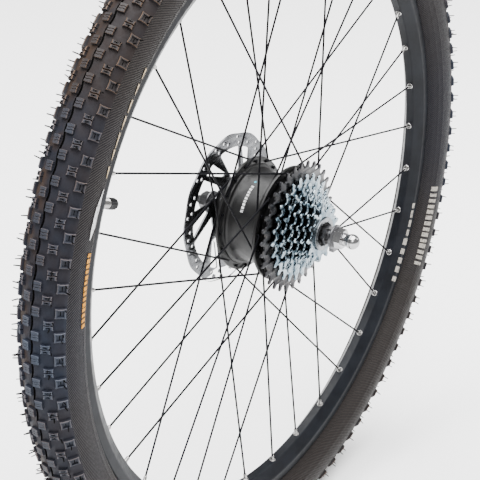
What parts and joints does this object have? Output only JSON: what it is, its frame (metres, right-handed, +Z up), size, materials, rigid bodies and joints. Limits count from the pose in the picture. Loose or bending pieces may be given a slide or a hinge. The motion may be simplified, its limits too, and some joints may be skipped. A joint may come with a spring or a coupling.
{
  "type": "geared hub motor bicycle wheel",
  "caption": "Rear bicycle wheel with a geared hub motor, disc brake rotor, freewheel sprocket cluster, laced double-wall rim and knobbly off-road tyre.",
  "frame": {"origin": "centre of the wheel on the axle's axis, midway between the two dropout faces and in the rim's middle plane", "axes": "+Y along the axle to the brake disc side, -Y to the sprocket side, +Z up, +X to the front of the bicycle"},
  "size_m": [0.7426, 0.1947, 0.7426],
  "materials": {
    "alloy": "cast",
    "bearing_steel": "ground",
    "black_anodised": "anodised satin",
    "black_paint": "satin",
    "black_plastic": "moulded",
    "black_rubber": "matte",
    "black_screw": "black oxide",
    "black_spoke": "satin",
    "chrome": "polished",
    "circuit_board": "solder mask",
    "cog_black": "black oxide",
    "cog_silver": "zinc plated",
    "copper": "enamelled wire",
    "disc_steel": "brushed",
    "gear_nylon": "nylon",
    "lamination": "laminated",
    "magnet": "nickel plated",
    "nipple_silver": "nickel plated",
    "steel_dark": "machined",
    "tape": "smooth",
    "tube_rubber": "matte",
    "tyre_rubber": "matte",
    "zinc": "zinc plated"
  },
  "bodies": {
    "axle": {"axle": "steel_dark", "lock_nuts": "zinc", "torque_washers": "zinc", "left_axle_nut": "zinc", "left_axle_spacer": "zinc", "right_axle_spacer": "zinc", "planet_pins": "zinc", "one_way_clutch": "zinc", "right_cap_nut": "chrome", "left_bearing_inner_race": "bearing_steel", "right_bearing_inner_race": "bearing_steel", "rotor_bearing_inner_race": "bearing_steel", "bearing_balls": "bearing_steel", "cable_gland": "black_rubber", "stator_hub": "alloy", "planet_carrier": "alloy", "stator_core": "lamination", "stator_windings": "copper", "hall_sensor_board": "circuit_board"},
    "wheel": {"hub_shell": "black_paint", "left_cover": "black_paint", "core_screws": "zinc", "cover_screws": "black_screw", "disc_bolts": "black_screw", "left_shaft_seal": "black_rubber", "left_bearing_outer_race": "bearing_steel", "right_bearing_outer_race": "bearing_steel", "freehub_core": "bearing_steel", "freehub_pawls": "bearing_steel", "ring_gear": "gear_nylon", "brake_disc": "disc_steel", "left_spokes": "black_spoke", "right_spokes": "black_spoke", "spoke_nipples": "nipple_silver", "nipple_eyelets": "nipple_silver", "rim": "black_anodised", "rim_tape": "tape", "inner_tube": "tube_rubber", "valve_stem": "nipple_silver", "valve_cap": "black_plastic", "tyre": "tyre_rubber"},
    "motor_rotor": {"rotor_bell": "alloy", "rotor_magnets": "magnet", "rotor_bearing_outer_race": "bearing_steel", "sun_gear": "bearing_steel"},
    "planet_1": {"planet_gear_1": "gear_nylon"},
    "planet_2": {"planet_gear_2": "gear_nylon"},
    "planet_3": {"planet_gear_3": "gear_nylon"},
    "cassette": {"sprocket_32t": "cog_black", "sprocket_26t": "cog_silver", "sprocket_22t": "cog_silver", "sprocket_19t": "cog_silver", "sprocket_17t": "cog_silver", "sprocket_15t": "cog_silver", "sprocket_13t": "cog_silver", "cluster_lock_ring": "zinc", "sprocket_spacers": "black_plastic", "freehub_body": "bearing_steel", "freehub_balls": "bearing_steel", "freehub_seal": "black_rubber"}
  },
  "joints": [
    {"name": "wheel_spin", "type": "hinge", "parent": "axle", "child": "wheel", "pos_m": [0, 0, 0], "axis": [0, 1, 0], "continuous": true},
    {"name": "rotor_spin", "type": "hinge", "parent": "axle", "child": "motor_rotor", "pos_m": [0, 0, 0], "axis": [0, 1, 0], "continuous": true},
    {"name": "planet_1_spin", "type": "hinge", "parent": "axle", "child": "planet_1", "pos_m": [0, 0, 0.024], "axis": [0, 1, 0], "continuous": true},
    {"name": "planet_2_spin", "type": "hinge", "parent": "axle", "child": "planet_2", "pos_m": [-0.02078, 0, -0.012], "axis": [0, 1, 0], "continuous": true},
    {"name": "planet_3_spin", "type": "hinge", "parent": "axle", "child": "planet_3", "pos_m": [0.02078, 0, -0.012], "axis": [0, 1, 0], "continuous": true},
    {"name": "cassette_spin", "type": "hinge", "parent": "wheel", "child": "cassette", "pos_m": [0, 0, 0], "axis": [0, 1, 0], "continuous": true}
  ],
  "couplings": [
    {"joint": "rotor_spin", "follows": "wheel_spin", "ratio": -4},
    {"joint": "planet_1_spin", "follows": "wheel_spin", "ratio": 2.6667},
    {"joint": "planet_2_spin", "follows": "wheel_spin", "ratio": 2.6667},
    {"joint": "planet_3_spin", "follows": "wheel_spin", "ratio": 2.6667}
  ]
}
